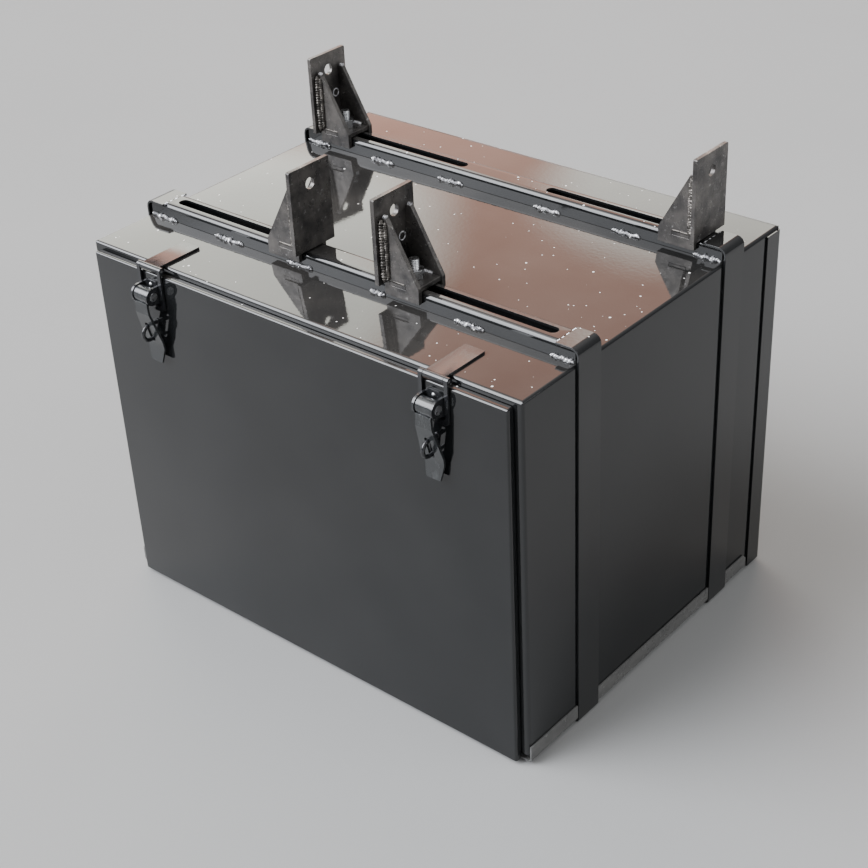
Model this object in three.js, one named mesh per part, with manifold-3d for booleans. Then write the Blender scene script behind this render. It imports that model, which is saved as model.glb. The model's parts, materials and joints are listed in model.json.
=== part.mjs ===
// Battery box: folded sheet casing with a drop-down front door, two flat-bar straps,
// two slotted top rails and four adjustable mounting brackets. Millimetres, +Z up.
import * as THREE from 'three';
import { mergeVertices } from 'three/addons/utils/BufferGeometryUtils.js';
import Module from 'manifold-3d';

const wasm = await Module();
wasm.setup();

// Overall casing
const GAP = 0.3;
const SHEET = 2;
const CASING_HALF = 300;
const CASING_DEPTH = 458;
const CASING_TOP = 445;
const FRONT_FLANGE_SIDE = 22;
const FRONT_FLANGE_TOP = 22;
const FAR = 700;

// Straps and rails
const STRAP_T = 2.5;
const STRAP_HALF = 18.5;
const STRAP_BEND = 9;
const STRAP_FOOT_BEND = 4;
const STRAP_LEG_END = 275;
const STRAP_CENTRES = [102, 362];
const RAIL_HALF = 16;
const RAIL_T = 3;
const RAIL_BEND = 6;
const RAIL_TOP = 463;
const RAIL_END = 297;
const SLOT_NEAR = 58;
const SLOT_FAR = 265;
const SLOT_HALF = 6.3;
const STRAP_SEAT = 459;

// Tray and rear cover
const TRAY_BOTTOM = STRAP_T + GAP;
const TRAY_LIP_TOP = 24;
const TRAY_LIP_REAR = 427;
const TRAY_FLANGE_TOP = 36;
const LIP_CHAMFER = 6;
const WRAP_BOTTOM = 11;
const REAR_RETURN = 27;
const CABLE_HOLE_R = 15;
const CABLE_HOLE_X = 150;
const CABLE_HOLE_Z = 90;
const MAT_T = 3;

// Door and its hinge
const DOOR_HALF = 289.5;
const DOOR_FRONT = -9.3;
const DOOR_REAR = -1;
const DOOR_BOTTOM = 4.5;
const DOOR_TOP = 437.7;
const SEAL_OUTER = 286.9;
const SEAL_BAND = 8;
const SEAL_BOTTOM = 24;
const SEAL_TOP = 435.1;
const HINGE_Y = -3.65;
const HINGE_Z = 4.2;
const KNUCKLE_R = 3.35;
const LEAF_T = 1.3;
const LEAF_TOP = 20;
const HINGE_HALF = 285;
const KNUCKLES = 11;
const HINGE_PIN_R = 1.5;

// Hasps and drop-lever latches
const LATCH_LEFT_X = -197;
const LATCH_RIGHT_X = 202;
const HASP_HALF = 18.2;
const HASP_T = 2.5;
const HASP_STRIP = 4.5;
const HASP_REAR = 53;
const HASP_AXIS_Y = -8.7;
const HASP_AXIS_Z = 444.3;
const HASP_KNUCKLE_R = 4;
const HASP_MIDDLE = 12.6;
const HASP_PIN_R = 1.7;
const HASP_FOOT = 396;
const HASP_BAR_TOP = 402;
const LATCH_AXIS_Y = -20.6;
const LATCH_AXIS_Z = 417;
const EAR_R = 10;
const EAR_OUTER = 12.6;
const EAR_INNER = 10;
const BASE_HALF = 12.9;
const BASE_TOP = 430.5;
const BASE_FRONT = -11.6;
const LATCH_PIN_R = 3;
const DRUM_R = 8.8;
const DRUM_HALF = 9.7;
const LEVER_LIP_Y = -29;
const LEVER_LIP_Z = 410.5;
const LEVER_BEND_Z = 397;
const LEVER_CREASE_Y = -15.6;
const LEVER_CREASE_Z = 350;
const LEVER_TIP_Y = -18.4;
const LEVER_TIP_Z = 333.5;
const LEVER_WIDEST_Z = 360;
const LEVER_T = 2.6;
const STAPLE_Z = 371;
const STAPLE_WIRE_R = 2.4;
const STAPLE_BEND_R = 8.5;
const STAPLE_BEND_Y = -23;
const STAPLE_BEND_STEPS = 10;

// Mounting brackets, measured from the outer face of the upright plate
const WELD_GAP = 0.1;
const PLATE_T = 5;
const PLATE_HALF = 30;
const PLATE_BOTTOM = 464;
const PLATE_TOP = 558.5;
const BOLT_HOLE_R = 6.5;
const BOLT_HOLE_Z = 537.4;
const GUSSET_INNER = 16.3;
const GUSSET_OUTER = 21.3;
const GUSSET_REACH = 50.5;
const GUSSET_TOP_REACH = 12.6;
const GUSSET_TOP = 537;
const GUSSET_CORNER = 469.3;
const GUSSET_BOTTOM = 452;
const FOOT_TOP = 469;
const TAB_NEAR = 12;
const TAB_FAR = 33;
const STUD_X = 27.5;
const STUD_R = 6;
const STUD_TOP = 490;
const STUD_HEAD_HALF = 10;
const STUD_HEAD_T = 6;
const NUT_R = 10.6;
const NUT_H = 10;
const BRACKETS = [
  { name: 'front_left', face: -54.4, way: -1, rail: 0 },
  { name: 'front_right', face: 56.9, way: 1, rail: 0 },
  { name: 'rear_left', face: -275, way: 1, rail: 1 },
  { name: 'rear_right', face: 270.7, way: -1, rail: 1 },
];

const GROMMET_FLANGE = 2;
const REAR_MOST = CASING_DEPTH + GAP + GROMMET_FLANGE;
const FRONT_MOST = STAPLE_BEND_Y - STAPLE_BEND_R - STAPLE_WIRE_R;
const Y_CENTRE = (REAR_MOST + FRONT_MOST) / 2;

// Materials
const BLACK = { color: 0x0c0d0e, roughness: 0.18, metalness: 0.1 };
const HARDWARE = { color: 0x17181a, roughness: 0.28, metalness: 0.2 };
const LEVER_PAINT = { color: 0x3c3f41, roughness: 0.4, metalness: 0.2 };
const MILL_STEEL = { color: 0x2e2a26, roughness: 0.55, metalness: 0.8 };
const ZINC = { color: 0xa9adb0, roughness: 0.35, metalness: 0.9 };
const RUBBER = { color: 0x0a0a0a, roughness: 0.9, metalness: 0 };

const group = new THREE.Group();
group.name = 'battery_box';

// Turn a closed three.js geometry into a solid for cutting and joining.
function solidOf(geometry) {
  geometry.deleteAttribute('normal');
  geometry.deleteAttribute('uv');
  const merged = mergeVertices(geometry, 1e-4);
  return new wasm.Manifold(new wasm.Mesh({
    numProp: 3,
    vertProperties: new Float32Array(merged.attributes.position.array),
    triVerts: new Uint32Array(merged.index.array),
  }));
}

// Add one named sub-part to the group.
function add(name, look, solid) {
  const mesh = solid.getMesh();
  const geometry = new THREE.BufferGeometry();
  geometry.setAttribute('position', new THREE.BufferAttribute(new Float32Array(mesh.vertProperties), 3));
  geometry.setIndex(new THREE.BufferAttribute(new Uint32Array(mesh.triVerts), 1));
  geometry.translate(0, -Y_CENTRE, 0);
  const flat = geometry.toNonIndexed();
  flat.computeVertexNormals();
  const part = new THREE.Mesh(flat, new THREE.MeshStandardMaterial(look));
  part.name = name;
  group.add(part);
}

// A block between two corners.
function block(x0, x1, y0, y1, z0, z1) {
  const box = new THREE.BoxGeometry(x1 - x0, y1 - y0, z1 - z0);
  box.translate((x0 + x1) / 2, (y0 + y1) / 2, (z0 + z1) / 2);
  return solidOf(box);
}

// Extrude an outline of [a, b] points; order says which axes a, b and the length run along.
function extrude(points, from, to, order) {
  const shape = new THREE.Shape(points.map(([a, b]) => new THREE.Vector2(a, b)));
  const body = new THREE.ExtrudeGeometry(shape, { depth: to - from, bevelEnabled: false });
  body.translate(0, 0, from);
  body.applyMatrix4(order);
  return solidOf(body);
}

const Y_Z_X = new THREE.Matrix4().set(0, 0, 1, 0, 1, 0, 0, 0, 0, 1, 0, 0, 0, 0, 0, 1);
const Z_X_Y = new THREE.Matrix4().set(0, 1, 0, 0, 0, 0, 1, 0, 1, 0, 0, 0, 0, 0, 0, 1);
const X_Y_Z = new THREE.Matrix4();

// Outline points are [y, z].
function alongX(points, x0, x1) {
  return extrude(points, x0, x1, Y_Z_X);
}

// Outline points are [x, z].
function alongY(points, y0, y1) {
  return extrude(points.map(([x, z]) => [z, x]), y0, y1, Z_X_Y);
}

// Outline points are [x, y].
function alongZ(points, z0, z1) {
  return extrude(points, z0, z1, X_Y_Z);
}

// An outline whose corners [a, b, radius] are rounded where the radius isn't 0.
function rounded(corners, steps = 4) {
  const out = [];
  corners.forEach(([a, b, r = 0], i) => {
    if (r === 0) {
      out.push([a, b]);
      return;
    }
    const here = new THREE.Vector2(a, b);
    const before = corners[(i + corners.length - 1) % corners.length];
    const after = corners[(i + 1) % corners.length];
    const u = new THREE.Vector2(before[0], before[1]).sub(here).normalize();
    const v = new THREE.Vector2(after[0], after[1]).sub(here).normalize();
    const half = Math.acos(u.dot(v)) / 2;
    const middle = u.clone().add(v).normalize();
    const centre = here.clone().addScaledVector(middle, r / Math.sin(half));
    const start = here.clone().addScaledVector(u, r / Math.tan(half)).sub(centre);
    const end = here.clone().addScaledVector(v, r / Math.tan(half)).sub(centre);
    const turn = Math.atan2(start.cross(end), start.dot(end));
    for (let k = 0; k <= steps; k += 1) {
      const p = start.clone().rotateAround(new THREE.Vector2(), (turn * k) / steps).add(centre);
      out.push([p.x, p.y]);
    }
  });
  return out;
}

// Points round a circle.
function circle(a, b, r, count) {
  return Array.from({ length: count }, (_, i) => {
    const t = (2 * Math.PI * i) / count;
    return [a + r * Math.cos(t), b + r * Math.sin(t)];
  });
}

// A rounded rectangle outline.
function rectangle(a0, a1, b0, b1, r, steps) {
  return rounded([[a0, b0, r], [a1, b0, r], [a1, b1, r], [a0, b1, r]], steps);
}

// A block whose top sides, top front fold and front corners are bent to a radius.
function foldedBlock(half, y0, y1, z0, z1, bend) {
  const front = alongY(rounded([[-half, z0], [half, z0], [half, z1, bend], [-half, z1, bend]]), y0, y1);
  const side = alongX(rounded([[y0, z0], [y1, z0], [y1, z1], [y0, z1, bend]]), -half, half);
  const plan = alongZ(rounded([[-half, y0, bend], [half, y0, bend], [half, y1], [-half, y1]]), z0, z1);
  return front.intersect(side).intersect(plan);
}

// Top, sides and narrow front flange folded from one sheet.
function casingWrap() {
  const outerBend = 4;
  const rear = CASING_DEPTH - SHEET - GAP;
  const outer = foldedBlock(CASING_HALF, 0, rear, WRAP_BOTTOM, CASING_TOP, outerBend);
  const inside = foldedBlock(
    CASING_HALF - SHEET, SHEET, FAR, -FAR, CASING_TOP - SHEET, outerBend - SHEET,
  );
  const windowHalf = CASING_HALF - FRONT_FLANGE_SIDE;
  const opening = block(-windowHalf, windowHalf, -SHEET, 2 * SHEET, -FAR, CASING_TOP - FRONT_FLANGE_TOP);
  add('casing_wrap', BLACK, outer.subtract(inside).subtract(opening));
}

// Shallow tray that closes the bottom, with lips outside the casing walls, notched for the straps.
function bottomTray() {
  const outer = CASING_HALF + GAP + SHEET;
  const inner = CASING_HALF + GAP;
  const floor = TRAY_BOTTOM + SHEET;
  const profile = rounded([
    [-outer, TRAY_LIP_TOP], [-outer, TRAY_BOTTOM, 5], [outer, TRAY_BOTTOM, 5], [outer, TRAY_LIP_TOP],
    [inner, TRAY_LIP_TOP], [inner, floor, 3], [-inner, floor, 3], [-inner, TRAY_LIP_TOP],
  ]);
  const flangeHalf = CASING_HALF - FRONT_FLANGE_SIDE - GAP;
  const floorHalf = CASING_HALF - 3;
  const clip = [
    [TRAY_LIP_REAR - LIP_CHAMFER, TRAY_LIP_TOP + 1],
    [TRAY_LIP_REAR + 1, TRAY_LIP_TOP - LIP_CHAMFER - 1],
    [TRAY_LIP_REAR + 1, TRAY_LIP_TOP + 1],
  ];
  let tray = alongY(profile, 0, TRAY_LIP_REAR)
    .add(block(-floorHalf, floorHalf, TRAY_LIP_REAR - 1, CASING_DEPTH - SHEET - GAP, TRAY_BOTTOM, floor))
    .add(block(-flangeHalf, flangeHalf, 0, SHEET, TRAY_BOTTOM, TRAY_FLANGE_TOP))
    .subtract(alongX(clip, -outer - 1, outer + 1));
  for (const centre of STRAP_CENTRES) {
    const y0 = centre - STRAP_HALF - GAP;
    const y1 = centre + STRAP_HALF + GAP;
    const bottom = TRAY_BOTTOM - 1;
    tray = tray
      .subtract(block(-FAR, SHEET - CASING_HALF, y0, y1, bottom, TRAY_LIP_TOP + 1))
      .subtract(block(CASING_HALF - SHEET, FAR, y0, y1, bottom, TRAY_LIP_TOP + 1));
  }
  add('bottom_tray', BLACK, tray);
}

// Pressed-on rear cover with two cable holes.
function rearCover() {
  const outer = CASING_HALF + GAP + SHEET;
  const inner = CASING_HALF + GAP;
  const front = CASING_DEPTH - REAR_RETURN;
  const plate = CASING_DEPTH - SHEET;
  const returnTop = CASING_TOP - 3;
  const flangeHalf = CASING_HALF - 3 * SHEET;
  const flangeTop = CASING_TOP - SHEET - GAP;
  const plan = rounded([
    [-outer, front], [-outer, CASING_DEPTH, 3], [outer, CASING_DEPTH, 3], [outer, front],
    [inner, front], [inner, plate, 1], [-inner, plate, 1], [-inner, front],
  ]);
  let cover = alongZ(plan, TRAY_BOTTOM, returnTop)
    .add(block(-outer + 3, outer - 3, plate, CASING_DEPTH, TRAY_BOTTOM, CASING_TOP))
    .add(block(-flangeHalf, flangeHalf, front, plate + 1, flangeTop - SHEET, flangeTop));
  for (const side of [-1, 1]) {
    const hole = circle(side * CABLE_HOLE_X, CABLE_HOLE_Z, CABLE_HOLE_R, 24);
    cover = cover.subtract(alongY(hole, plate - 1, CASING_DEPTH + 1));
  }
  add('rear_cover', BLACK, cover);
}

// Rubber grommet that grips the edge of a cable hole.
function cableGrommet(name, x) {
  const neck = CABLE_HOLE_R - GAP;
  const flange = CABLE_HOLE_R + 4;
  const bore = 9;
  const half = SHEET / 2 + GAP;
  const end = half + GROMMET_FLANGE;
  const profile = [
    [bore, -end], [flange, -end], [flange, -half], [neck, -half],
    [neck, half], [flange, half], [flange, end], [bore, end], [bore, -end],
  ];
  const ring = new THREE.LatheGeometry(profile.map(([r, y]) => new THREE.Vector2(r, y)), 24);
  ring.translate(x, CASING_DEPTH - SHEET / 2, CABLE_HOLE_Z);
  add(name, RUBBER, solidOf(ring));
}

// Rubber sheet the batteries stand on.
function batteryMat() {
  const half = CASING_HALF - 10;
  const bottom = TRAY_BOTTOM + SHEET + GAP;
  add('battery_mat', RUBBER, block(-half, half, 8, CASING_DEPTH - 12, bottom, bottom + MAT_T));
}

// Flat bar bent right round the box, its ends meeting the rail.
function strapHoop(name, centre) {
  const inner = CASING_HALF + GAP;
  const outer = inner + STRAP_T;
  const inside = STRAP_BEND - STRAP_T;
  const footInside = STRAP_FOOT_BEND - STRAP_T;
  const outline = rounded([
    [-STRAP_LEG_END, RAIL_TOP], [-outer, RAIL_TOP, STRAP_BEND], [-outer, 0, STRAP_FOOT_BEND],
    [outer, 0, STRAP_FOOT_BEND], [outer, RAIL_TOP, STRAP_BEND], [STRAP_LEG_END, RAIL_TOP],
    [STRAP_LEG_END, RAIL_TOP - STRAP_T], [inner, RAIL_TOP - STRAP_T, inside],
    [inner, STRAP_T, footInside], [-inner, STRAP_T, footInside],
    [-inner, RAIL_TOP - STRAP_T, inside], [-STRAP_LEG_END, RAIL_TOP - STRAP_T],
  ]);
  add(name, BLACK, alongY(outline, centre - STRAP_HALF, centre + STRAP_HALF));
}

// Inverted channel with a long slot on each side of its middle.
function slottedRail(name, centre) {
  const bottom = CASING_TOP + GAP;
  const under = RAIL_TOP - RAIL_T;
  const wall = RAIL_HALF - RAIL_T;
  const profile = rounded([
    [centre - RAIL_HALF, bottom], [centre - RAIL_HALF, RAIL_TOP, RAIL_BEND],
    [centre + RAIL_HALF, RAIL_TOP, RAIL_BEND], [centre + RAIL_HALF, bottom],
    [centre + wall, bottom], [centre + wall, under, RAIL_BEND - RAIL_T],
    [centre - wall, under, RAIL_BEND - RAIL_T], [centre - wall, bottom],
  ]);
  let rail = alongX(profile, -RAIL_END, RAIL_END);
  for (const side of [-1, 1]) {
    const near = side * (STRAP_LEG_END - GAP);
    const end = side * FAR;
    rail = rail.subtract(block(
      Math.min(near, end), Math.max(near, end), centre - FAR, centre + FAR, STRAP_SEAT, FAR,
    ));
    const slotEnds = [side * SLOT_NEAR, side * SLOT_FAR].sort((a, b) => a - b);
    const slot = rectangle(
      slotEnds[0], slotEnds[1], centre - SLOT_HALF, centre + SLOT_HALF, SLOT_HALF - 0.01, 6,
    );
    rail = rail.subtract(alongZ(slot, under - 1, RAIL_TOP + 1));
  }
  add(name, BLACK, rail);
}

// One leaf of the long door hinge, with every other knuckle.
function hingeLeaf(name, y0, y1, parity) {
  const clear = HINGE_Z + KNUCKLE_R + 0.45;
  const pitch = (2 * HINGE_HALF) / KNUCKLES;
  let leaf = block(-HINGE_HALF, HINGE_HALF, y0, y1, clear, LEAF_TOP);
  for (let i = parity; i < KNUCKLES; i += 2) {
    const x0 = -HINGE_HALF + i * pitch + GAP / 2;
    const x1 = x0 + pitch - GAP;
    leaf = leaf
      .add(alongX(circle(HINGE_Y, HINGE_Z, KNUCKLE_R, 16), x0, x1))
      .add(block(x0, x1, y0, y1, HINGE_Z, clear + 1));
  }
  const bore = circle(HINGE_Y, HINGE_Z, HINGE_PIN_R + 0.25, 12);
  add(name, HARDWARE, leaf.subtract(alongX(bore, -FAR, FAR)));
}

// Both leaves and the pin that joins them.
function doorHinge() {
  const rearFace = HINGE_Y + KNUCKLE_R;
  const frontFace = HINGE_Y - KNUCKLE_R;
  hingeLeaf('hinge_fixed_leaf', rearFace - LEAF_T, rearFace, 0);
  hingeLeaf('hinge_door_leaf', frontFace, frontFace + LEAF_T, 1);
  const pin = alongX(circle(HINGE_Y, HINGE_Z, HINGE_PIN_R, 12), -HINGE_HALF + 1, HINGE_HALF - 1);
  add('hinge_pin', ZINC, pin);
}

// Pan door folded back round its top and sides.
function doorPanel() {
  const bend = 2.6;
  const outer = foldedBlock(DOOR_HALF, DOOR_FRONT, DOOR_REAR, DOOR_BOTTOM, DOOR_TOP, bend);
  const inside = foldedBlock(
    DOOR_HALF - SHEET, DOOR_FRONT + SHEET, FAR, -FAR, DOOR_TOP - SHEET, bend - SHEET,
  );
  add('door_panel', BLACK, outer.subtract(inside));
}

// Rubber frame on the back of the door that presses on the casing flange.
function doorSeal() {
  const innerHalf = SEAL_OUTER - SEAL_BAND;
  const outline = rectangle(-SEAL_OUTER, SEAL_OUTER, SEAL_BOTTOM, SEAL_TOP, 1, 2);
  const hole = rectangle(-innerHalf, innerHalf, SEAL_BOTTOM + SEAL_BAND, SEAL_TOP - SEAL_BAND, 1, 2);
  const y0 = DOOR_FRONT + SHEET + GAP;
  const seal = alongY(outline, y0, -GAP).subtract(alongY(hole, y0 - 1, 1));
  add('door_seal', RUBBER, seal);
}

// Fixed plate on the casing top that ends in the middle knuckle of the hasp hinge.
function haspPlate(name, x) {
  const bottom = CASING_TOP + GAP;
  const top = bottom + HASP_T;
  const clear = HASP_AXIS_Y + HASP_KNUCKLE_R + 0.4;
  const outline = rounded([
    [x - HASP_MIDDLE, clear], [x + HASP_MIDDLE, clear],
    [x + HASP_MIDDLE, HASP_REAR, 2], [x - HASP_MIDDLE, HASP_REAR, 2],
  ]);
  const x0 = x - HASP_MIDDLE;
  const x1 = x + HASP_MIDDLE;
  const plate = alongZ(outline, bottom, top)
    .add(alongX(circle(HASP_AXIS_Y, HASP_AXIS_Z, HASP_KNUCKLE_R, 16), x0, x1))
    .add(block(x0, x1, HASP_AXIS_Y, clear + 1, bottom, top))
    .subtract(alongX(circle(HASP_AXIS_Y, HASP_AXIS_Z, HASP_PIN_R + 0.25, 12), x0 - 1, x1 + 1));
  add(name, HARDWARE, plate);
}

// Hinged hasp: two knuckles, two side strips and a bottom bar round an open window.
function hasp(name, x) {
  const front = HASP_AXIS_Y - HASP_KNUCKLE_R;
  const windowHalf = HASP_HALF - HASP_STRIP;
  const sheet = rounded([
    [x - HASP_HALF, HASP_AXIS_Z], [x - HASP_HALF, HASP_FOOT, 5],
    [x + HASP_HALF, HASP_FOOT, 5], [x + HASP_HALF, HASP_AXIS_Z],
  ]);
  const opening = rounded([
    [x - windowHalf, FAR], [x - windowHalf, HASP_BAR_TOP, 2],
    [x + windowHalf, HASP_BAR_TOP, 2], [x + windowHalf, FAR],
  ]);
  let frame = alongY(sheet, front, front + HASP_T).subtract(alongY(opening, front - 1, 0));
  for (const side of [-1, 1]) {
    const ends = [x + side * (HASP_MIDDLE + GAP), x + side * HASP_HALF].sort((a, b) => a - b);
    frame = frame.add(alongX(circle(HASP_AXIS_Y, HASP_AXIS_Z, HASP_KNUCKLE_R, 16), ends[0], ends[1]));
  }
  const bore = circle(HASP_AXIS_Y, HASP_AXIS_Z, HASP_PIN_R + 0.25, 12);
  add(name, HARDWARE, frame.subtract(alongX(bore, x - FAR, x + FAR)));
}

// Pin through the hasp knuckles.
function haspPin(name, x) {
  const half = HASP_HALF - 0.4;
  add(name, ZINC, alongX(circle(HASP_AXIS_Y, HASP_AXIS_Z, HASP_PIN_R, 12), x - half, x + half));
}

// Base plate on the door with two round-nosed ears that carry the lever.
function latchBase(name, x) {
  const back = DOOR_FRONT - GAP;
  const low = LATCH_AXIS_Z - EAR_R;
  const high = LATCH_AXIS_Z + EAR_R;
  const plateBottom = low - 3;
  const plate = rounded([
    [x - BASE_HALF, plateBottom, 2], [x + BASE_HALF, plateBottom, 2],
    [x + BASE_HALF, BASE_TOP, 9], [x - BASE_HALF, BASE_TOP, 9],
  ], 5);
  const ear = rounded([
    [back, low], [back, high], [LATCH_AXIS_Y - EAR_R, high, EAR_R], [LATCH_AXIS_Y - EAR_R, low, EAR_R],
  ], 6);
  const bore = circle(LATCH_AXIS_Y, LATCH_AXIS_Z, LATCH_PIN_R + 0.2, 16);
  const base = alongY(plate, BASE_FRONT, back)
    .add(alongX(ear, x - EAR_OUTER, x - EAR_INNER))
    .add(alongX(ear, x + EAR_INNER, x + EAR_OUTER))
    .subtract(alongX(bore, x - FAR, x + FAR));
  add(name, HARDWARE, base);
}

// Headed pin the lever turns on.
function latchPin(name, x) {
  const head = 0.5;
  const y = LATCH_AXIS_Y;
  const z = LATCH_AXIS_Z;
  const start = EAR_OUTER + 0.1;
  let pin = alongX(circle(y, z, LATCH_PIN_R, 16), x - start - head / 2, x + start + head / 2);
  for (const side of [-1, 1]) {
    const ends = [x + side * start, x + side * (start + head)].sort((a, b) => a - b);
    pin = pin.add(alongX(circle(y, z, LATCH_PIN_R + 2, 16), ends[0], ends[1]));
  }
  add(name, ZINC, pin);
}

// Drop lever: rolled head with a lip, slotted tongue leaning to the door, and a tip bent forward.
function latchLever(name, x) {
  const side = [
    [LEVER_LIP_Y, LEVER_LIP_Z], [LEVER_LIP_Y, LEVER_BEND_Z], [LEVER_CREASE_Y, LEVER_CREASE_Z],
    [LEVER_TIP_Y, LEVER_TIP_Z], [LEVER_TIP_Y + LEVER_T, LEVER_TIP_Z - 0.5],
    [LEVER_CREASE_Y + LEVER_T, LEVER_CREASE_Z + 0.5], [LEVER_LIP_Y + LEVER_T, LEVER_BEND_Z + 0.5],
    [LEVER_LIP_Y + LEVER_T, LEVER_LIP_Z - 3.5], [LATCH_AXIS_Y - 2.4, LATCH_AXIS_Z - 5],
  ];
  const headHalf = DRUM_HALF - 0.1;
  const widest = 14.2;
  const tipHalf = 8.6;
  const neck = LEVER_LIP_Z - 6;
  const face = rounded([
    [x - headHalf, LATCH_AXIS_Z], [x + headHalf, LATCH_AXIS_Z], [x + headHalf, neck],
    [x + widest, LEVER_WIDEST_Z, 3], [x + tipHalf, LEVER_TIP_Z - 1, 1.5],
    [x - tipHalf, LEVER_TIP_Z - 1, 1.5], [x - widest, LEVER_WIDEST_Z, 3], [x - headHalf, neck],
  ], 3);
  const slotHalf = 3.4;
  const slotReach = STAPLE_BEND_R + STAPLE_WIRE_R + 2.2;
  const slot = rectangle(x - slotHalf, x + slotHalf, STAPLE_Z - slotReach, STAPLE_Z + slotReach, 3.2, 3);
  const tongue = alongX(side, x - FAR, x + FAR)
    .intersect(alongY(face, -FAR, FAR))
    .subtract(alongY(slot, -FAR, FAR));
  const drum = alongX(circle(LATCH_AXIS_Y, LATCH_AXIS_Z, DRUM_R, 28), x - DRUM_HALF, x + DRUM_HALF);
  const bore = alongX(circle(LATCH_AXIS_Y, LATCH_AXIS_Z, LATCH_PIN_R + 0.2, 16), x - FAR, x + FAR);
  add(name, LEVER_PAINT, tongue.add(drum).subtract(bore));
}

// Straight length of round wire between two points.
function wireBetween(from, to, radius) {
  const rod = new THREE.CylinderGeometry(radius, radius, from.distanceTo(to), 10);
  const along = to.clone().sub(from).normalize();
  rod.applyQuaternion(new THREE.Quaternion().setFromUnitVectors(new THREE.Vector3(0, 1, 0), along));
  const middle = from.clone().add(to).multiplyScalar(0.5);
  rod.translate(middle.x, middle.y, middle.z);
  return solidOf(rod);
}

// Round-wire staple on the door that stands out through the lever's slot.
function lockStaple(name, x) {
  const root = DOOR_FRONT - GAP;
  const at = (y, z) => new THREE.Vector3(x, y, z);
  const points = [at(root, STAPLE_Z + STAPLE_BEND_R)];
  for (let k = 0; k <= STAPLE_BEND_STEPS; k += 1) {
    const t = Math.PI / 2 + (Math.PI * k) / STAPLE_BEND_STEPS;
    points.push(at(STAPLE_BEND_Y + STAPLE_BEND_R * Math.cos(t), STAPLE_Z + STAPLE_BEND_R * Math.sin(t)));
  }
  points.push(at(root, STAPLE_Z - STAPLE_BEND_R));
  const rods = points.slice(1).map((point, i) => wireBetween(points[i], point, STAPLE_WIRE_R));
  add(name, HARDWARE, rods.reduce((wire, rod) => wire.add(rod)));
}

// One side's hasp, hasp hinge, latch and staple.
function latchSet(side, x) {
  haspPlate(`hasp_plate_${side}`, x);
  hasp(`hasp_${side}`, x);
  haspPin(`hasp_pin_${side}`, x);
  latchBase(`latch_base_${side}`, x);
  latchPin(`latch_pin_${side}`, x);
  latchLever(`latch_lever_${side}`, x);
  lockStaple(`lock_staple_${side}`, x);
}

// Mounting bracket welded from a plate, two gussets and a foot, clamped through the rail slot.
function mountingBracket({ name, face, way, rail }) {
  const centre = STRAP_CENTRES[rail];
  const at = (reach) => face + way * reach;
  const span = (a, b) => [Math.min(at(a), at(b)), Math.max(at(a), at(b))];
  const label = (piece) => `bracket_${name}_${piece}`;

  const [p0, p1] = span(0, PLATE_T);
  const plateOutline = rounded([
    [centre - PLATE_HALF, PLATE_BOTTOM], [centre + PLATE_HALF, PLATE_BOTTOM],
    [centre + PLATE_HALF, PLATE_TOP, 1.5], [centre - PLATE_HALF, PLATE_TOP, 1.5],
  ], 2);
  const bolt = circle(centre, BOLT_HOLE_Z, BOLT_HOLE_R, 24);
  add(label('plate'), MILL_STEEL, alongX(plateOutline, p0, p1).subtract(alongX(bolt, p0 - 1, p1 + 1)));

  const seam = PLATE_T + WELD_GAP;
  const web = [
    [at(seam), GUSSET_BOTTOM], [at(GUSSET_REACH), GUSSET_BOTTOM],
    [at(GUSSET_REACH), GUSSET_CORNER], [at(GUSSET_TOP_REACH), GUSSET_TOP], [at(seam), GUSSET_TOP],
  ];
  const [t0, t1] = span(TAB_NEAR, TAB_FAR);
  const tabHole = block(
    t0 - WELD_GAP, t1 + WELD_GAP, centre - FAR, centre + FAR, PLATE_BOTTOM - WELD_GAP, FOOT_TOP + WELD_GAP,
  );
  const frontGusset = alongY(web, centre - GUSSET_OUTER, centre - GUSSET_INNER).subtract(tabHole);
  const rearGusset = alongY(web, centre + GUSSET_INNER, centre + GUSSET_OUTER).subtract(tabHole);
  add(label('gusset_front'), MILL_STEEL, frontGusset);
  add(label('gusset_rear'), MILL_STEEL, rearGusset);

  const [f0, f1] = span(seam, GUSSET_REACH - 2);
  const inner = GUSSET_INNER - WELD_GAP;
  const stud = circle(at(STUD_X), centre, STUD_R, 20);
  const studHole = circle(at(STUD_X), centre, STUD_R + 0.5, 20);
  const foot = block(f0, f1, centre - inner, centre + inner, PLATE_BOTTOM, FOOT_TOP)
    .add(block(t0, t1, centre - GUSSET_OUTER, centre + GUSSET_OUTER, PLATE_BOTTOM, FOOT_TOP))
    .subtract(alongZ(studHole, PLATE_BOTTOM - 1, FOOT_TOP + 1));
  add(label('foot'), MILL_STEEL, foot);

  const headTop = RAIL_TOP - RAIL_T - 0.2;
  const head = block(
    at(STUD_X) - STUD_HEAD_HALF, at(STUD_X) + STUD_HEAD_HALF,
    centre - STUD_HEAD_HALF, centre + STUD_HEAD_HALF, headTop - STUD_HEAD_T, headTop,
  );
  add(label('stud'), ZINC, head.add(alongZ(stud, headTop - 1, STUD_TOP)));

  const nutHole = circle(at(STUD_X), centre, STUD_R + 0.2, 20);
  const nutBottom = FOOT_TOP + WELD_GAP;
  const nut = alongZ(circle(at(STUD_X), centre, NUT_R, 6), nutBottom, nutBottom + NUT_H)
    .subtract(alongZ(nutHole, FOOT_TOP - 1, FOOT_TOP + NUT_H + 2));
  add(label('nut'), ZINC, nut);
}

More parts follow.
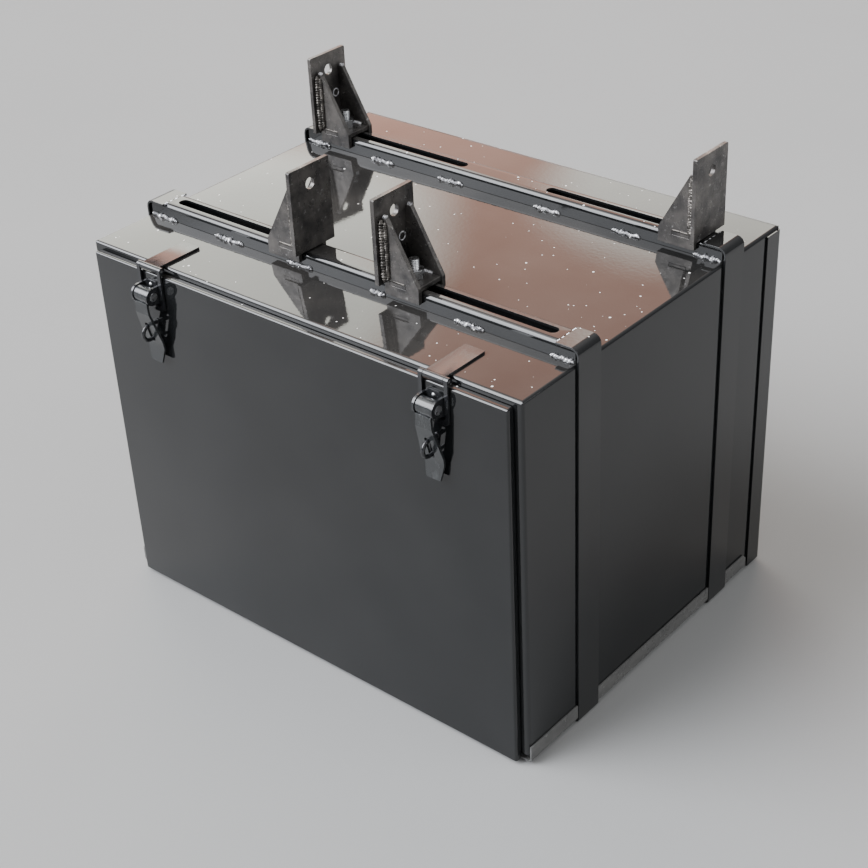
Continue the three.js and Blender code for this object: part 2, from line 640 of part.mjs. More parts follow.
casingWrap();
bottomTray();
rearCover();
cableGrommet('cable_grommet_left', -CABLE_HOLE_X);
cableGrommet('cable_grommet_right', CABLE_HOLE_X);
batteryMat();
doorHinge();
doorPanel();
doorSeal();
strapHoop('front_strap', STRAP_CENTRES[0]);
strapHoop('rear_strap', STRAP_CENTRES[1]);
slottedRail('front_rail', STRAP_CENTRES[0]);
slottedRail('rear_rail', STRAP_CENTRES[1]);
latchSet('left', LATCH_LEFT_X);
latchSet('right', LATCH_RIGHT_X);
BRACKETS.forEach(mountingBracket);

export default group;
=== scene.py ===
"""Looks for the battery box: refined metal pieces, weld beads, fasteners, paint and studio light."""

import json
import math
import random

import bmesh
import bpy
from mathutils import Matrix, Vector


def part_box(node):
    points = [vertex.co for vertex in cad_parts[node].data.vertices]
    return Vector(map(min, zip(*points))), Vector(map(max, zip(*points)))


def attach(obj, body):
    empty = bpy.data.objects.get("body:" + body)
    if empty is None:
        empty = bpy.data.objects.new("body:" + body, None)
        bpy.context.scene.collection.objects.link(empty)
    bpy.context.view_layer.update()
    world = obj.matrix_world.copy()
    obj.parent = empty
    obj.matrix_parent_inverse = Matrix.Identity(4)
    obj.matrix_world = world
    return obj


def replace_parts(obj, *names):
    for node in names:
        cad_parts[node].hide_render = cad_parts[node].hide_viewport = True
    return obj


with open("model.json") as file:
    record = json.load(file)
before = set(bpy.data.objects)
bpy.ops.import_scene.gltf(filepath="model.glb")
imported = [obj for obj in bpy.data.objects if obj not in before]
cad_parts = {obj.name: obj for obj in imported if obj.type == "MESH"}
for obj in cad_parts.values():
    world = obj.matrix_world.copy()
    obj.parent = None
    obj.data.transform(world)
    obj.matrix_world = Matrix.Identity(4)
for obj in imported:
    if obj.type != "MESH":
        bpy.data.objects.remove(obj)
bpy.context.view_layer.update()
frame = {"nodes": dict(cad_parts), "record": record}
MM = 0.001
SIDES = ("left", "right")
BRACKETS = ("front_left", "front_right", "rear_left", "rear_right")


# ---------------------------------------------------------------- camera

CAMERA_AZIMUTH = math.radians(41.52)
CAMERA_ELEVATION = math.radians(32.12)
CAMERA_ROLL = math.radians(-3.01)
CAMERA_PLACE = Vector((1.12377, -1.26837, 1.2557))
CAMERA_LENS = 70.82


def make_camera():
    """A three-quarter view from the front right and above."""
    az, el, roll = CAMERA_AZIMUTH, CAMERA_ELEVATION, CAMERA_ROLL
    forward = Vector((-math.sin(az) * math.cos(el), math.cos(az) * math.cos(el), -math.sin(el)))
    level = forward.cross(Vector((0, 0, 1))).normalized()
    upright = level.cross(forward)
    right = math.cos(roll) * level + math.sin(roll) * upright
    up = -math.sin(roll) * level + math.cos(roll) * upright
    data = bpy.data.cameras.new("camera")
    data.sensor_width = 36
    data.lens = CAMERA_LENS
    data.clip_end = 50
    camera = bpy.data.objects.new("camera", data)
    camera.matrix_world = Matrix.Translation(CAMERA_PLACE) @ Matrix((right, up, -forward)).transposed().to_4x4()
    bpy.context.scene.collection.objects.link(camera)
    bpy.context.scene.camera = camera


# ---------------------------------------------------------------- materials

class Nodes:
    """Short calls for building one material's node tree."""

    def __init__(self, name, **shader):
        self.material = bpy.data.materials.new(name)
        self.material.use_nodes = True
        self.tree = self.material.node_tree
        self.shader = self.tree.nodes["Principled BSDF"]
        for socket, value in shader.items():
            self.shader.inputs[socket.replace("_", " ")].default_value = value
        self.place = self.tree.nodes.new("ShaderNodeTexCoord").outputs["Object"]

    def new(self, kind, inputs=None, **settings):
        node = self.tree.nodes.new("ShaderNode" + kind)
        for key, value in settings.items():
            setattr(node, key, value)
        for key, value in (inputs or {}).items():
            if isinstance(value, bpy.types.NodeSocket):
                self.tree.links.new(value, node.inputs[key])
            else:
                node.inputs[key].default_value = value
        return node

    def noise(self, scale, detail=3.0, rough=0.55, stretch=None):
        place = self.place
        if stretch:
            place = self.new("Mapping", {"Vector": place, "Scale": stretch}).outputs[0]
        settings = {"Vector": place, "Scale": scale, "Detail": detail, "Roughness": rough}
        return self.new("TexNoise", settings).outputs[0]

    def ramp(self, value, low, high, to_low=0.0, to_high=1.0):
        return self.new("MapRange", {"Value": value, "From Min": low, "From Max": high,
                                     "To Min": to_low, "To Max": to_high}, clamp=True).outputs[0]

    def math(self, operation, a, b=0.0):
        return self.new("Math", {0: a, 1: b}, operation=operation).outputs[0]

    def mix(self, factor, a, b):
        node = self.new("Mix", data_type="RGBA")
        for key, value in ((0, factor), (6, a), (7, b)):
            if isinstance(value, bpy.types.NodeSocket):
                self.tree.links.new(value, node.inputs[key])
            else:
                node.inputs[key].default_value = value
        return node.outputs[2]

    def bump(self, height, distance, strength=1.0, under=None):
        inputs = {"Height": height, "Distance": distance, "Strength": strength}
        if under is not None:
            inputs["Normal"] = under
        return self.new("Bump", inputs).outputs[0]

    def link(self, socket, value):
        self.tree.links.new(value, self.shader.inputs[socket])

    def upward(self):
        """1 on faces that look straight up, 0 on upright and lower faces."""
        normal = self.new("NewGeometry").outputs["Normal"]
        z = self.new("SeparateXYZ", {0: normal}).outputs[2]
        return self.ramp(z, 0.75, 0.98)

    def specks(self, scale, size, share):
        """Small round dots, one in some cells of a Voronoi pattern."""
        cells = self.new("TexVoronoi", {"Vector": self.place, "Scale": scale})
        dot = self.ramp(cells.outputs["Distance"], size, size * 0.6)
        shade = self.new("SeparateXYZ", {0: cells.outputs["Color"]}).outputs[0]
        chosen = self.math("GREATER_THAN", shade, 1 - share)
        return self.math("MULTIPLY", dot, chosen)


def gloss_paint():
    """Gloss black powder coat with a faint orange peel, dust film and pale grit on top faces."""
    n = Nodes("black_gloss_paint", Metallic=0.0, IOR=1.52)
    film = n.noise(5.0, 4.0, 0.6)
    dust = n.math("MULTIPLY", n.ramp(film, 0.35, 0.75, 0.1, 0.5), n.upward())
    base = n.mix(n.ramp(n.noise(9.0, 5.0), 0.3, 0.7),
                 (0.0045, 0.0050, 0.0055, 1), (0.0085, 0.0090, 0.0095, 1))
    dusty = n.mix(n.ramp(dust, 0.0, 0.5, 0.0, 0.10), base, (0.30, 0.27, 0.24, 1))
    fine = n.math("MAXIMUM", n.specks(85, 0.125, 0.08), n.specks(190, 0.17, 0.05))
    grit = n.math("MULTIPLY", n.math("MAXIMUM", fine, n.specks(42, 0.068, 0.07)), n.upward())
    n.link("Base Color", n.mix(grit, dusty, (0.9, 0.88, 0.85, 1)))
    smear = n.ramp(n.noise(14.0, 5.0, 0.65), 0.3, 0.75, 0.02, 0.075)
    n.link("Roughness", n.math("MAXIMUM", smear, n.math("MULTIPLY", grit, 0.9)))
    peel = n.bump(n.noise(260.0, 2.0, 0.5), 0.00003)
    n.link("Normal", n.bump(n.noise(6.0, 1.0, 0.4), 0.0009, 0.35, peel))
    return n.material


def tray_paint():
    """The same gloss black, greyed by a film of road dust and scuffed along the floor."""
    n = Nodes("tray_paint", Metallic=0.0, IOR=1.52)
    dust = n.ramp(n.noise(22.0, 6.0, 0.65, (1, 1, 2.5)), 0.3, 0.7)
    n.link("Base Color", n.mix(dust, (0.075, 0.075, 0.074, 1), (0.14, 0.138, 0.133, 1)))
    n.link("Roughness", n.ramp(n.noise(30.0, 5.0, 0.6), 0.3, 0.7, 0.12, 0.35))
    n.link("Normal", n.bump(n.noise(260.0, 2.0, 0.5), 0.00005))
    return n.material


def hardware_paint():
    """Brushed-on black paint on the latch and hinge pieces, thin at worn spots."""
    n = Nodes("black_hardware_paint", Metallic=0.0, IOR=1.55)
    worn = n.ramp(n.noise(160.0, 5.0, 0.7), 0.62, 0.72)
    n.link("Base Color", n.mix(worn, (0.012, 0.0125, 0.014, 1), (0.055, 0.055, 0.056, 1)))
    n.link("Roughness", n.ramp(n.noise(45.0, 4.0, 0.6), 0.3, 0.7, 0.08, 0.24))
    n.link("Normal", n.bump(n.noise(300.0, 3.0, 0.6), 0.00008))
    return n.material


def lever_paint():
    """Satin dark grey lever, scuffed paler where fingers and the hasp rub."""
    n = Nodes("grey_lever_paint", Metallic=0.0, IOR=1.55)
    scuff = n.ramp(n.noise(90.0, 6.0, 0.7, (1, 1, 0.4)), 0.52, 0.72)
    n.link("Base Color", n.mix(scuff, (0.018, 0.0195, 0.0205, 1), (0.042, 0.044, 0.045, 1)))
    n.link("Roughness", n.ramp(n.noise(60.0, 4.0, 0.6), 0.3, 0.7, 0.08, 0.2))
    n.link("Normal", n.bump(n.noise(350.0, 3.0, 0.6), 0.00008))
    return n.material


def mill_scale():
    """Hot-rolled plate: dark oiled scale with brown bloom, pale flakes and fine pits."""
    n = Nodes("mill_scale_steel", Metallic=0.7, IOR=1.5)
    patches = n.noise(38.0, 6.0, 0.65)
    dark = n.mix(n.ramp(patches, 0.35, 0.65), (0.046, 0.044, 0.044, 1), (0.140, 0.130, 0.121, 1))
    flakes = n.ramp(n.noise(150.0, 7.0, 0.78), 0.60, 0.70)
    n.link("Base Color", n.mix(flakes, dark, (0.46, 0.45, 0.44, 1)))
    n.link("Roughness", n.ramp(n.noise(120.0, 5.0, 0.7), 0.3, 0.7, 0.2, 0.5))
    pits = n.bump(n.noise(420.0, 5.0, 0.7), 0.0002)
    n.link("Normal", n.bump(patches, 0.0004, 0.5, pits))
    return n.material


def zinc():
    """Bright zinc plate, slightly clouded."""
    n = Nodes("zinc_steel", Metallic=1.0)
    n.link("Base Color", n.mix(n.ramp(n.noise(120.0, 4.0), 0.3, 0.7),
                               (0.42, 0.43, 0.44, 1), (0.66, 0.66, 0.67, 1)))
    n.link("Roughness", n.ramp(n.noise(200.0, 4.0, 0.6), 0.3, 0.7, 0.2, 0.4))
    n.link("Normal", n.bump(n.noise(500.0, 2.0), 0.00005))
    return n.material


def bright_weld():
    """Fresh stitch weld: silvery metal with smoky spots."""
    n = Nodes("bright_weld", Metallic=0.85)
    soot = n.ramp(n.noise(240.0, 5.0, 0.7), 0.42, 0.62)
    n.link("Base Color", n.mix(soot, (0.86, 0.86, 0.87, 1), (0.30, 0.30, 0.32, 1)))
    n.link("Roughness", n.ramp(n.noise(320.0, 4.0, 0.6), 0.3, 0.7, 0.22, 0.5))
    n.link("Normal", n.bump(n.noise(600.0, 4.0, 0.7), 0.0003))
    return n.material


def dark_weld():
    """Weld bead on the brackets, browned like the plate round it."""
    n = Nodes("dark_weld", Metallic=0.8)
    heat = n.ramp(n.noise(130.0, 5.0, 0.7), 0.40, 0.66)
    n.link("Base Color", n.mix(heat, (0.040, 0.037, 0.034, 1), (0.17, 0.155, 0.14, 1)))
    n.link("Roughness", n.ramp(n.noise(260.0, 4.0, 0.6), 0.3, 0.7, 0.25, 0.5))
    n.link("Normal", n.bump(n.noise(520.0, 4.0, 0.7), 0.0002))
    return n.material


def rubber():
    """Matt black rubber with a fine grain and a little dust."""
    n = Nodes("black_rubber", Metallic=0.0, IOR=1.5)
    n.link("Base Color", n.mix(n.ramp(n.noise(40.0, 5.0, 0.6), 0.4, 0.7),
                               (0.010, 0.010, 0.010, 1), (0.028, 0.027, 0.026, 1)))
    n.link("Roughness", n.ramp(n.noise(90.0, 4.0), 0.3, 0.7, 0.62, 0.85))
    n.link("Normal", n.bump(n.noise(700.0, 3.0), 0.0001))
    return n.material


def make_materials():
    return {
        "black_gloss_paint": gloss_paint(),
        "tray_paint": tray_paint(),
        "black_hardware_paint": hardware_paint(),
        "grey_lever_paint": lever_paint(),
        "mill_scale_steel": mill_scale(),
        "zinc_steel": zinc(),
        "black_rubber": rubber(),
        "bright_weld": bright_weld(),
        "dark_weld": dark_weld(),
    }


# ---------------------------------------------------------------- pieces

SLOT_OF = {s["node"]: s["material_slot"] for s in frame["record"]["subparts"]}
BODY_OF = {n: body for body, nodes in frame["record"]["behaviour"]["bodies"].items() for n in nodes}
EDGE_WIDTH = {"black_gloss_paint": 0.35, "black_hardware_paint": 0.4, "grey_lever_paint": 0.4,
              "mill_scale_steel": 0.5, "zinc_steel": 0.3, "black_rubber": 0.4}


def piece(name, mesh, body, material):
    """A named object on a body, with its material."""
    mesh.materials.clear()
    mesh.materials.append(material)
    made = bpy.data.objects.new(name, mesh)
    bpy.context.scene.collection.objects.link(made)
    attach(made, body)
    return made


def smooth(mesh, degrees=35):
    """Shade smooth, but keep edges sharper than the angle."""
    mesh.polygons.foreach_set("use_smooth", [True] * len(mesh.polygons))
    mesh.set_sharp_from_angle(angle=math.radians(degrees))


def refine(node):
    """Replace a CAD node by the same shape with its edges eased and its bends smooth."""
    slot = SLOT_OF[node]
    work = bmesh.new()
    work.from_mesh(frame["nodes"][node].data)
    bmesh.ops.remove_doubles(work, verts=work.verts, dist=1e-6)
    bmesh.ops.dissolve_limit(work, angle_limit=math.radians(0.5), verts=work.verts, edges=work.edges)
    mesh = bpy.data.meshes.new(node + "_look")
    work.to_mesh(mesh)
    work.free()
    material = MATERIALS["tray_paint" if node == "bottom_tray" else slot]
    made = piece(node + "_look", mesh, BODY_OF[node], material)
    bevel = made.modifiers.new("edges", "BEVEL")
    bevel.width = EDGE_WIDTH[slot] * MM
    bevel.segments = 2
    bevel.limit_method = "ANGLE"
    bevel.angle_limit = math.radians(40)
    bevel.use_clamp_overlap = True
    bevel.harden_normals = True
    smooth(mesh)
    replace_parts(made, node)
    return made


def skin(work, rows):
    """Join rows of points, one after the other, into a closed wall of four-sided faces."""
    sides = len(rows[0])
    for first, second in zip(rows, rows[1:]):
        for j in range(sides):
            after = (j + 1) % sides
            work.faces.new((first[j], first[after], second[after], second[j]))


BEAD_SIDES = 10
BEAD_PITCH = 0.28        # ring spacing as a share of the bead's radius
BEAD_WAVE = 3.2          # rings in one ripple


def bead(name, points, radius, body, material, seed, squash=0.8, ripple=0.14):
    """A weld bead along points: overlapping ripples, uneven in width, tapered at both ends."""
    rng = random.Random(seed)
    work = bmesh.new()
    path = [Vector(p) for p in points]
    length = sum((b - a).length for a, b in zip(path, path[1:]))
    count = max(6, int(length / (radius * BEAD_PITCH)))
    rings = []
    for i in range(count + 1):
        t = i / count
        along = t * (len(path) - 1)
        k = min(int(along), len(path) - 2)
        centre = path[k].lerp(path[k + 1], along - k)
        tangent = (path[k + 1] - path[k]).normalized()
        side = tangent.orthogonal().normalized()
        other = tangent.cross(side)
        cap = math.sqrt(max(0.0, 1 - (2 * t - 1) ** 10))
        wave = 1 + ripple * math.sin(i * 2 * math.pi / BEAD_WAVE) + rng.uniform(-0.06, 0.06)
        r = radius * max(0.05, cap) * wave
        drift = side * rng.uniform(-0.05, 0.05) * radius
        ring = []
        for j in range(BEAD_SIDES):
            a = 2 * math.pi * j / BEAD_SIDES
            around = side * (r * math.cos(a)) + other * (r * squash * math.sin(a))
            ring.append(work.verts.new(centre + drift + around))
        rings.append(ring)
    skin(work, rings)
    work.faces.new(reversed(rings[0]))
    work.faces.new(rings[-1])
    bmesh.ops.recalc_face_normals(work, faces=work.faces)
    mesh = bpy.data.meshes.new(name)
    work.to_mesh(mesh)
    work.free()
    smooth(mesh, 70)
    return piece(name, mesh, body, material)


def corners(node):
    """Lowest and highest corner of a CAD node's box."""
    low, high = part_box(node)
    return Vector(low), Vector(high)


# ---------------------------------------------------------------- welds

# Where each stitch starts and ends along the rail.
RAIL_STITCHES = {
    "front_rail": ((-0.297, -0.256), (-0.194, -0.150), (-0.083, -0.046),
                   (0.037, 0.057), (0.149, 0.187), (0.268, 0.296)),
    "rear_rail": ((-0.297, -0.261), (-0.193, -0.158), (-0.089, -0.052),
                  (0.051, 0.088), (0.158, 0.195), (0.262, 0.296)),
}
STITCH_RADIUS = 0.0019
STITCH_STEPS = 9
STITCH_SWAY = 0.0010
STITCH_HEIGHT = 0.0012
STITCH_PROUD = 0.0006
BLOB_RADIUS = 0.0015
BLOBS = 3
STRAP_END_SEAM = 0.2749
STRAP_END_RADIUS = 0.0012
STRAP_END_SINK = 0.0010
# Start from the rail's middle line, and length, of each butt weld across a strap end.
STRAP_END_BEADS = ((-0.0165, 0.006), (-0.008, 0.004), (-0.001, 0.006), (0.009, 0.007))


def stitch(name, start, end, seed):
    """A short, rough hand-made stitch: a wavering bead with three blobs thrown across it."""
    rng = random.Random(seed)
    start, end = Vector(start), Vector(end)
    points = []
    for k in range(STITCH_STEPS):
        sway = STITCH_SWAY * math.sin(k * 2.1 + rng.uniform(-0.4, 0.4))
        points.append(start.lerp(end, k / (STITCH_STEPS - 1)) + Vector((0, 0, sway)))
    bead(name, points, STITCH_RADIUS, "box", MATERIALS["bright_weld"], seed, ripple=0.34)
    outward = -STITCH_PROUD if "front" in name else STITCH_PROUD
    for k in range(BLOBS):
        centre = start.lerp(end, rng.uniform(0.12, 0.88))
        lean = rng.uniform(0.5, 1.1) * rng.choice((-1, 1))
        reach = Vector((math.cos(lean), 0, math.sin(lean))) * rng.uniform(0.0026, 0.0040)
        push = Vector((0, outward, 0.0003))
        bead(f"{name}_blob_{k}", [centre - reach + push, centre + reach + push], BLOB_RADIUS, "box",
             MATERIALS["bright_weld"], f"{seed}{k}", ripple=0.4)


def rail_welds():
    """Stitches along the foot of each rail, front and back, and butt welds at the strap ends."""
    for rail, stitches in RAIL_STITCHES.items():
        low, high = corners(rail)
        for face, y in (("front", low.y - STITCH_PROUD), ("back", high.y + STITCH_PROUD)):
            for i, (x0, x1) in enumerate(stitches):
                z = low.z + STITCH_HEIGHT
                stitch(f"weld_{rail}_{face}_{i}", (x0, y, z), (x1, y, z), f"{rail}{face}{i}")
        middle = (low.y + high.y) / 2
        for side, side_name in ((-1, "left"), (1, "right")):
            x = side * STRAP_END_SEAM
            for k, (offset, length) in enumerate(STRAP_END_BEADS):
                points = [(x, middle + offset + length * j / 3, high.z - STRAP_END_SINK) for j in range(4)]
                bead(f"weld_{rail}_end_{k}_{side_name}", points, STRAP_END_RADIUS, "box",
                     MATERIALS["bright_weld"], f"{rail}{side}{k}", ripple=0.3)


PLUG_HEIGHT = 0.505
PLUG_OFFSET = 0.0095
PLUG_RADIUS = 0.0046
PLATE_BEAD_FOOT = 0.4665
PLATE_BEAD_HEAD = 0.5365
SECOND_BEAD_FOOT = 0.4680
SECOND_BEAD_LENGTH = 0.066
FOOT_GLINT_HEIGHT = 0.4698
TAB_SEAM_START = 0.0068
TAB_SEAM_LENGTH = 0.0215


def bracket_welds():
    """Ribbed vertical beads between each upright plate and its gussets, and beads along the foot."""
    for name in BRACKETS:
        plate_low, plate_high = corners(f"bracket_{name}_plate")
        gusset_x = corners(f"bracket_{name}_gusset_front")[0].x
        face = plate_high.x if gusset_x > plate_low.x else plate_low.x
        middle = (plate_low.y + plate_high.y) / 2 + PLUG_OFFSET
        plug = [(face, middle + PLUG_RADIUS * math.cos(t), PLUG_HEIGHT + PLUG_RADIUS * math.sin(t))
                for t in (2 * math.pi * k / 16 for k in range(17))]
        bead(f"weld_{name}_plug", plug, 0.0009, f"bracket_{name}", MATERIALS["bright_weld"],
             f"{name}plug", ripple=0.2)
        for side, y_side in (("front", -1), ("rear", 1)):
            low, high = corners(f"bracket_{name}_gusset_{side}")
            way = 1 if low.x > plate_low.x else -1
            inner = plate_high.x if way > 0 else plate_low.x
            outer_y = low.y if y_side < 0 else high.y
            x = inner + way * 0.0022
            y = outer_y + y_side * 0.0020
            points = [(x, y, PLATE_BEAD_FOOT + (PLATE_BEAD_HEAD - PLATE_BEAD_FOOT) * k / 8) for k in range(9)]
            bead(f"weld_{name}_{side}", points, 0.0036, f"bracket_{name}", MATERIALS["dark_weld"],
                 f"{name}{side}", squash=1.0, ripple=0.2)
            second = [(x + way * 0.0040, outer_y + y_side * 0.0004, SECOND_BEAD_FOOT + SECOND_BEAD_LENGTH * k / 8)
                      for k in range(9)]
            bead(f"weld_{name}_{side}_second", second, 0.0026, f"bracket_{name}", MATERIALS["dark_weld"],
                 f"{name}{side}b", squash=1.0, ripple=0.2)
            top = (inner + way * 0.004, (low.y + high.y) / 2, high.z + 0.0006)
            blob = [(top[0] - way * 0.002, top[1], top[2]), (top[0] + way * 0.003, top[1], top[2])]
            bead(f"weld_{name}_{side}_top", blob, 0.0022, f"bracket_{name}", MATERIALS["bright_weld"],
                 f"{name}{side}t")
            glint = [(inner + way * (0.020 + 0.0045 * k), (low.y + high.y) / 2 - y_side * 0.0034,
                      FOOT_GLINT_HEIGHT) for k in range(4)]
            bead(f"weld_{name}_{side}_foot", glint, 0.0017, f"bracket_{name}", MATERIALS["bright_weld"],
                 f"{name}{side}g", ripple=0.4)
            tab_low, tab_high = corners(f"bracket_{name}_foot")
            seam_y = tab_low.y + 0.0003 if y_side < 0 else tab_high.y - 0.0003
            seam_x = inner + way * TAB_SEAM_START
            seam = [(seam_x + way * TAB_SEAM_LENGTH * k / 4, seam_y, tab_high.z + 0.0004) for k in range(5)]
            bead(f"weld_{name}_{side}_tab", seam, 0.0013, f"bracket_{name}", MATERIALS["dark_weld"],
                 f"{name}{side}s")


THREAD_PITCH = 1.75 * MM
THREAD_MAJOR = 5.95 * MM
THREAD_MINOR = 4.95 * MM
THREAD_CUT = (0.0, 0.5, 1.0, 0.5)     # depth of cut at each quarter turn
STUD_HEAD = 5.9 * MM
STUD_NECK = 6 * MM
STUD_SIDES = 24


def threaded_stud(name):
    """Stud with a turned thread above the nut, a chamfered tip and its square head."""
    node = f"bracket_{name}_stud"
    low, high = corners(node)
    centre = (low + high) / 2
    foot = corners(f"bracket_{name}_foot")[1].z
    work = bmesh.new()
    count = int((high.z - foot) / (THREAD_PITCH / 4))
    rows = []
    for i in range(count + 1):
        z = foot + i * (high.z - foot) / count
        row = []
        for j in range(STUD_SIDES):
            phase = (i + 4 * j / STUD_SIDES) % 4
            k = int(phase)
            cut = THREAD_CUT[k] + (THREAD_CUT[(k + 1) % 4] - THREAD_CUT[k]) * (phase - k)
            r = THREAD_MAJOR - (THREAD_MAJOR - THREAD_MINOR) * cut
            r = min(r, THREAD_MINOR + (high.z - z) * 0.8)
            a = 2 * math.pi * j / STUD_SIDES
            row.append(work.verts.new((centre.x + r * math.cos(a), centre.y + r * math.sin(a), z)))
        rows.append(row)
    neck = [work.verts.new((centre.x + THREAD_MAJOR * math.cos(2 * math.pi * j / STUD_SIDES),
                            centre.y + THREAD_MAJOR * math.sin(2 * math.pi * j / STUD_SIDES), low.z + STUD_NECK))
            for j in range(STUD_SIDES)]
    rows.insert(0, neck)
    skin(work, rows)
    work.faces.new(rows[-1])
    work.faces.new(reversed(neck))
    head = bmesh.ops.create_cube(work, size=1)["verts"]
    size = Vector((high.x - low.x, high.y - low.y, STUD_HEAD))
    for v in head:
        v.co = Vector((centre.x, centre.y, low.z + size.z / 2)) + Vector(c * s for c, s in zip(v.co, size))
    bmesh.ops.bevel(work, geom=[e for e in work.edges if all(v in head for v in e.verts)],
                    offset=0.6 * MM, segments=2, affect="EDGES")
    mesh = bpy.data.meshes.new(node + "_look")
    work.to_mesh(mesh)
    work.free()
    smooth(mesh, 40)
    made = piece(node + "_look", mesh, f"bracket_{name}", MATERIALS["zinc_steel"])
    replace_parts(made, node)


def rivet(name, place, axis, radius, height, body):
    """Domed rivet head standing on a face."""
    work = bmesh.new()
    sides, rings = 20, 6
    axis = Vector(axis).normalized()
    u = axis.orthogonal().normalized()
    v = axis.cross(u)
    rows = []
    for i in range(rings + 1):
        t = (math.pi / 2) * i / rings
        r, h = radius * math.cos(t), height * math.sin(t)
        if i == rings:
            r = radius * 0.05
        rows.append([work.verts.new(Vector(place) + axis * h + u * (r * math.cos(a)) + v * (r * math.sin(a)))
                     for a in (2 * math.pi * j / sides for j in range(sides))])
    skin(work, rows)
    work.faces.new(rows[-1])
    work.faces.new(reversed(rows[0]))
    bmesh.ops.recalc_face_normals(work, faces=work.faces)
    mesh = bpy.data.meshes.new(name)
    work.to_mesh(mesh)
    work.free()
    smooth(mesh, 50)
    piece(name, mesh, body, MATERIALS["zinc_steel"])


def staple_wire(side):
    """Smooth round wire in place of the staple's straight lengths."""
    node = f"lock_staple_{side}"
    low, high = corners(node)
    x = (low.x + high.x) / 2
    wire = (high.x - low.x) / 2
    middle = (low.z + high.z) / 2
    bend = (high.z - low.z) / 2 - wire
    centre_y = low.y + wire + bend
    path = [(high.y, middle + bend)]
    for k in range(25):
        t = math.pi / 2 + math.pi * k / 24
        path.append((centre_y + bend * math.cos(t), middle + bend * math.sin(t)))
    path.append((high.y, middle - bend))
    work = bmesh.new()
    sides = 18
    rings = []
    for i, (y, z) in enumerate(path):
        before, after = path[max(i - 1, 0)], path[min(i + 1, len(path) - 1)]
        along = Vector((0, after[0] - before[0], after[1] - before[1])).normalized()
        across = Vector((1, 0, 0))
        other = along.cross(across)
        place = Vector((x, y, z))
        rings.append([work.verts.new(place + wire * (math.cos(a) * across + math.sin(a) * other))
                      for a in (2 * math.pi * j / sides for j in range(sides))])
    skin(work, rings)
    work.faces.new(reversed(rings[0]))
    work.faces.new(rings[-1])
    bmesh.ops.recalc_face_normals(work, faces=work.faces)
    mesh = bpy.data.meshes.new(node + "_look")
    work.to_mesh(mesh)
    work.free()
    smooth(mesh, 50)
    slot = SLOT_OF[node]
    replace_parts(piece(node + "_look", mesh, BODY_OF[node], MATERIALS[slot]), node)


BASE_RIVET_Z = 0.4252
BASE_SHEET = 2.0 * MM
STAPLE_TOE = 2.6 * MM
STAPLE_WIRE = 2.5 * MM


def latch_details():
    """A rivet at the head of each latch base, weld toes on the staples and on the hasp plates."""
    for side in SIDES:
        low, high = corners(f"latch_base_{side}")
        x = (low.x + high.x) / 2
        plate_front = high.y - BASE_SHEET
        rivet(f"latch_rivet_{side}", (x, plate_front, BASE_RIVET_Z), (0, -1, 0), 2.6 * MM, 1.5 * MM, "door")
        low, high = corners(f"lock_staple_{side}")
        for k, z in enumerate((low.z + STAPLE_WIRE, high.z - STAPLE_WIRE)):
            ring = [(x + STAPLE_TOE * math.cos(t), high.y - 0.6 * MM, z + STAPLE_TOE * math.sin(t))
                    for t in (2 * math.pi * j / 10 for j in range(11))]
            bead(f"staple_weld_{side}_{k}", ring, 0.0009, "door", MATERIALS["black_hardware_paint"],
                 f"staple{side}{k}")
        low, high = corners(f"hasp_plate_{side}")
        for k, cx in enumerate((low.x, high.x)):
            points = [(cx, high.y - (0.002 + 0.010 * j / 3), low.z + 0.0004) for j in range(4)]
            bead(f"hasp_plate_weld_{side}_{k}", points, 0.0012, "box", MATERIALS["black_gloss_paint"],
                 f"hasp{side}{k}")


# ---------------------------------------------------------------- floor and light

FLOOR_HALF = 8
FLOOR_DROP = -0.0005


def make_floor():
    """A plain pale floor, just under the straps."""
    work = bmesh.new()
    bmesh.ops.create_grid(work, x_segments=1, y_segments=1, size=FLOOR_HALF)
    mesh = bpy.data.meshes.new("floor")
    work.to_mesh(mesh)
    work.free()
    n = Nodes("floor_paint", Roughness=0.75)
    n.link("Base Color", n.mix(n.noise(1.5, 4.0), (0.26, 0.26, 0.257, 1), (0.29, 0.29, 0.287, 1)))
    mesh.materials.append(n.material)
    floor = bpy.data.objects.new("floor", mesh)
    floor.location.z = FLOOR_DROP
    bpy.context.scene.collection.objects.link(floor)


def area(name, place, target, size, power, colour):
    """A rectangular lamp, out of the camera's sight, pointing at a target."""
    data = bpy.data.lights.new(name, "AREA")
    data.shape = "RECTANGLE"
    data.size, data.size_y = size
    data.energy = power
    data.color = colour
    lamp = bpy.data.objects.new(name, data)
    lamp.location = place
    lamp.rotation_euler = (Vector(target) - Vector(place)).to_track_quat("-Z", "Y").to_euler()
    lamp.visible_camera = False
    bpy.context.scene.collection.objects.link(lamp)


def aim(azimuth, elevation):
    """Unit direction from degrees clockwise from +Y and degrees above the horizon."""
    az, el = math.radians(azimuth), math.radians(elevation)
    return (math.sin(az) * math.cos(el), math.cos(az) * math.cos(el), math.sin(el))


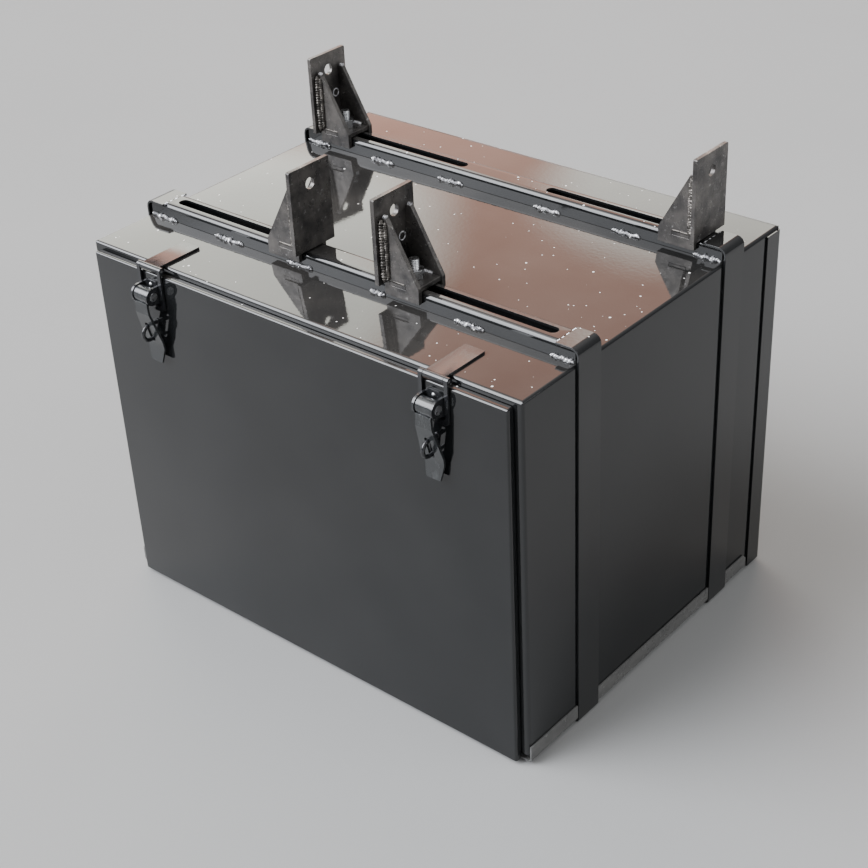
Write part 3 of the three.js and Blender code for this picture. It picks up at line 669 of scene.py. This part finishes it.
def make_world():
    """A soft studio dome: pale overhead, dimmer towards the horizon, warm and cool cards behind the box."""
    world = bpy.data.worlds.new("studio")
    bpy.context.scene.world = world
    world.use_nodes = True
    tree = world.node_tree
    background = tree.nodes["Background"]
    place = tree.nodes.new("ShaderNodeTexCoord").outputs["Generated"]
    height = tree.nodes.new("ShaderNodeSeparateXYZ")
    tree.links.new(place, height.inputs[0])
    sky = tree.nodes.new("ShaderNodeValToRGB")
    tree.links.new(height.outputs[2], sky.inputs[0])
    stops = sky.color_ramp.elements
    stops[0].position, stops[0].color = 0.0, (0.30, 0.31, 0.32, 1)
    stops[1].position, stops[1].color = 1.0, (1.0, 1.0, 1.0, 1)
    for position, colour in ((0.30, (0.36, 0.36, 0.37, 1)), (0.72, (0.55, 0.56, 0.58, 1))):
        stop = stops.new(position)
        stop.color = colour
    last = sky.outputs[0]
    for towards, near, far, colour in WORLD_CARDS:
        direction = Vector(towards).normalized()
        dot = tree.nodes.new("ShaderNodeVectorMath")
        dot.operation = "DOT_PRODUCT"
        dot.inputs[1].default_value = direction
        tree.links.new(place, dot.inputs[0])
        spread = tree.nodes.new("ShaderNodeMapRange")
        spread.interpolation_type = "SMOOTHSTEP"
        spread.inputs["From Min"].default_value = math.cos(math.radians(far))
        spread.inputs["From Max"].default_value = math.cos(math.radians(near))
        tree.links.new(dot.outputs["Value"], spread.inputs["Value"])
        mix = tree.nodes.new("ShaderNodeMix")
        mix.data_type = "RGBA"
        tree.links.new(spread.outputs[0], mix.inputs[0])
        tree.links.new(last, mix.inputs[6])
        mix.inputs[7].default_value = colour
        last = mix.outputs[2]
    tree.links.new(last, background.inputs["Color"])
    background.inputs["Strength"].default_value = 1.0


# A card is (direction, half-angle of its core, half-angle where it ends, colour).
WORLD_CARDS = (
    (aim(-40, 27), 13, 27, (2.85, 1.62, 1.24, 1)),
    (aim(-60, 28), 13, 18, (5.5, 5.5, 5.0, 1)),
    (aim(-27, 25), 6, 10.5, (5.1, 5.0, 4.55, 1)),
    (aim(-138, 38), 14, 32, (15.0, 15.4, 16.2, 1)),
)


make_camera()
MATERIALS = make_materials()
for node_name in frame["nodes"]:
    if not node_name.endswith("_stud") and not node_name.startswith("lock_staple"):
        refine(node_name)
for bracket_name in BRACKETS:
    threaded_stud(bracket_name)
for latch_side in SIDES:
    staple_wire(latch_side)
rail_welds()
bracket_welds()
latch_details()
make_floor()
make_world()
area("key", (-1.2, -0.6, 3.2), (0, 0, 0.3), (2.4, 1.6), 30, (1.0, 0.99, 0.97))
area("front_fill", (2.4, -2.4, 1.8), (0, 0, 0.2), (2.0, 1.4), 16, (0.97, 0.98, 1.0))
area("right_fill", (2.8, 1.0, 2.2), (0.7, 0.2, 0), (2.2, 1.6), 34, (0.97, 0.99, 1.0))
